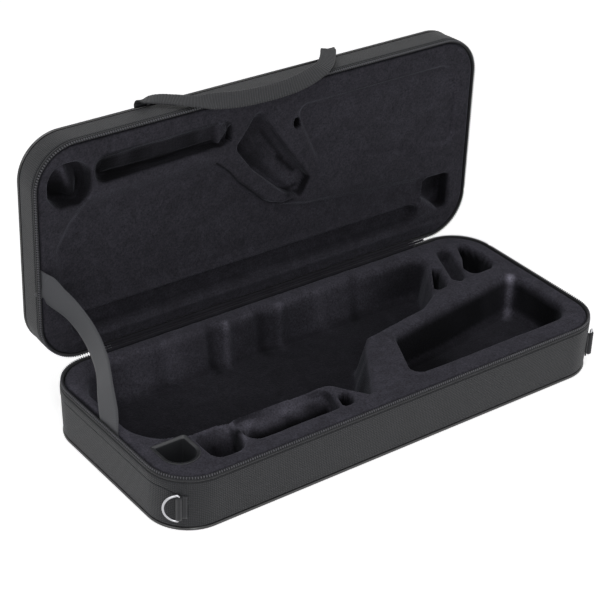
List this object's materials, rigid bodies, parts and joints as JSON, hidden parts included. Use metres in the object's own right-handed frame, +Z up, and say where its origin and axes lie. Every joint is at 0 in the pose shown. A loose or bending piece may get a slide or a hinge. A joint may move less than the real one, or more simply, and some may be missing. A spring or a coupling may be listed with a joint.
{
  "type": "alto saxophone case",
  "caption": "Oblong soft-covered instrument case with its lid open: moulded plush liner, accessory cup, stay strap, webbing handle, zip and two D-rings.",
  "frame": {"origin": "centre of the flat underside, where the case rests", "axes": "+X along the case's length, -Y towards the front, +Z up"},
  "size_m": [0.6604, 0.3384, 0.3752],
  "materials": {
    "board": "stiff black foam board under the cloth",
    "woven_cloth": "coarse woven black nylon",
    "piping": "glossy black cord piping",
    "zip_tape": "fine black zip tape",
    "zip_coil": "black nylon coil teeth",
    "lining_cloth": "thin black lining cloth",
    "plush": "black velour over moulded foam",
    "cup_plastic": "satin black moulded plastic",
    "strap_webbing": "smooth black polyester webbing",
    "handle_webbing": "ribbed black nylon webbing",
    "ring_steel": "nickel-plated steel wire",
    "slider_metal": "black enamelled zinc"
  },
  "bodies": {
    "base": {"base_board": "board", "base_cover": "woven_cloth", "base_bottom_panel": "woven_cloth", "base_piping": "piping", "base_zip_tape": "zip_tape", "base_zip_coil": "zip_coil", "base_liner": "plush", "hinge_welt": "lining_cloth", "hinge_strip_base": "lining_cloth", "accessory_cup": "cup_plastic", "d_ring_tab_left": "strap_webbing", "d_ring_tab_right": "strap_webbing", "stay_strap": "strap_webbing"},
    "lid": {"lid_board": "board", "lid_cover": "woven_cloth", "lid_outer_panel": "woven_cloth", "lid_piping": "piping", "lid_zip_tape": "zip_tape", "lid_zip_coil": "zip_coil", "lid_liner": "plush", "hinge_strip_lid": "lining_cloth", "handle_anchor_left": "handle_webbing", "handle_anchor_right": "handle_webbing"},
    "handle": {"carry_handle": "handle_webbing"},
    "d_ring_left": {"d_ring_left": "ring_steel"},
    "zip_slider_left": {"zip_slider_left": "slider_metal"},
    "zip_pull_left": {"zip_pull_left": "slider_metal"},
    "d_ring_right": {"d_ring_right": "ring_steel"},
    "zip_slider_right": {"zip_slider_right": "slider_metal"},
    "zip_pull_right": {"zip_pull_right": "slider_metal"}
  },
  "joints": [
    {"name": "lid_hinge", "type": "hinge", "parent": "base", "child": "lid", "pos_m": [0, 0.144, 0.074], "axis": [1, 0, 0], "range_deg": [-13, 90], "deforming": ["stay_strap"]},
    {"name": "handle_swing", "type": "hinge", "parent": "lid", "child": "handle", "pos_m": [0, 0.1904, 0.3575], "axis": [1, 0, 0], "range_deg": [-28, 4]},
    {"name": "d_ring_swing_left", "type": "hinge", "parent": "base", "child": "d_ring_left", "pos_m": [-0.3144, -0.12987, 0.034], "axis": [0, 0, 1], "range_deg": [0, 140]},
    {"name": "d_ring_swing_right", "type": "hinge", "parent": "base", "child": "d_ring_right", "pos_m": [0.3144, -0.12987, 0.034], "axis": [0, 0, -1], "range_deg": [0, 140]},
    {"name": "zip_slide_left", "type": "slide", "parent": "base", "child": "zip_slider_left", "axis": [-1, 0, 0], "range_m": [0, 0.022]},
    {"name": "zip_pull_swing_left", "type": "hinge", "parent": "zip_slider_left", "child": "zip_pull_left", "pos_m": [-0.243, 0.1509, 0.0665], "axis": [1, 0, 0], "range_deg": [0, 75]},
    {"name": "zip_slide_right", "type": "slide", "parent": "base", "child": "zip_slider_right", "axis": [1, 0, 0], "range_m": [0, 0.022]},
    {"name": "zip_pull_swing_right", "type": "hinge", "parent": "zip_slider_right", "child": "zip_pull_right", "pos_m": [0.243, 0.1509, 0.0665], "axis": [1, 0, 0], "range_deg": [0, 75]}
  ],
  "couplings": [
    {"joint": "handle_swing", "follows": "lid_hinge", "ratio": -0.28}
  ]
}
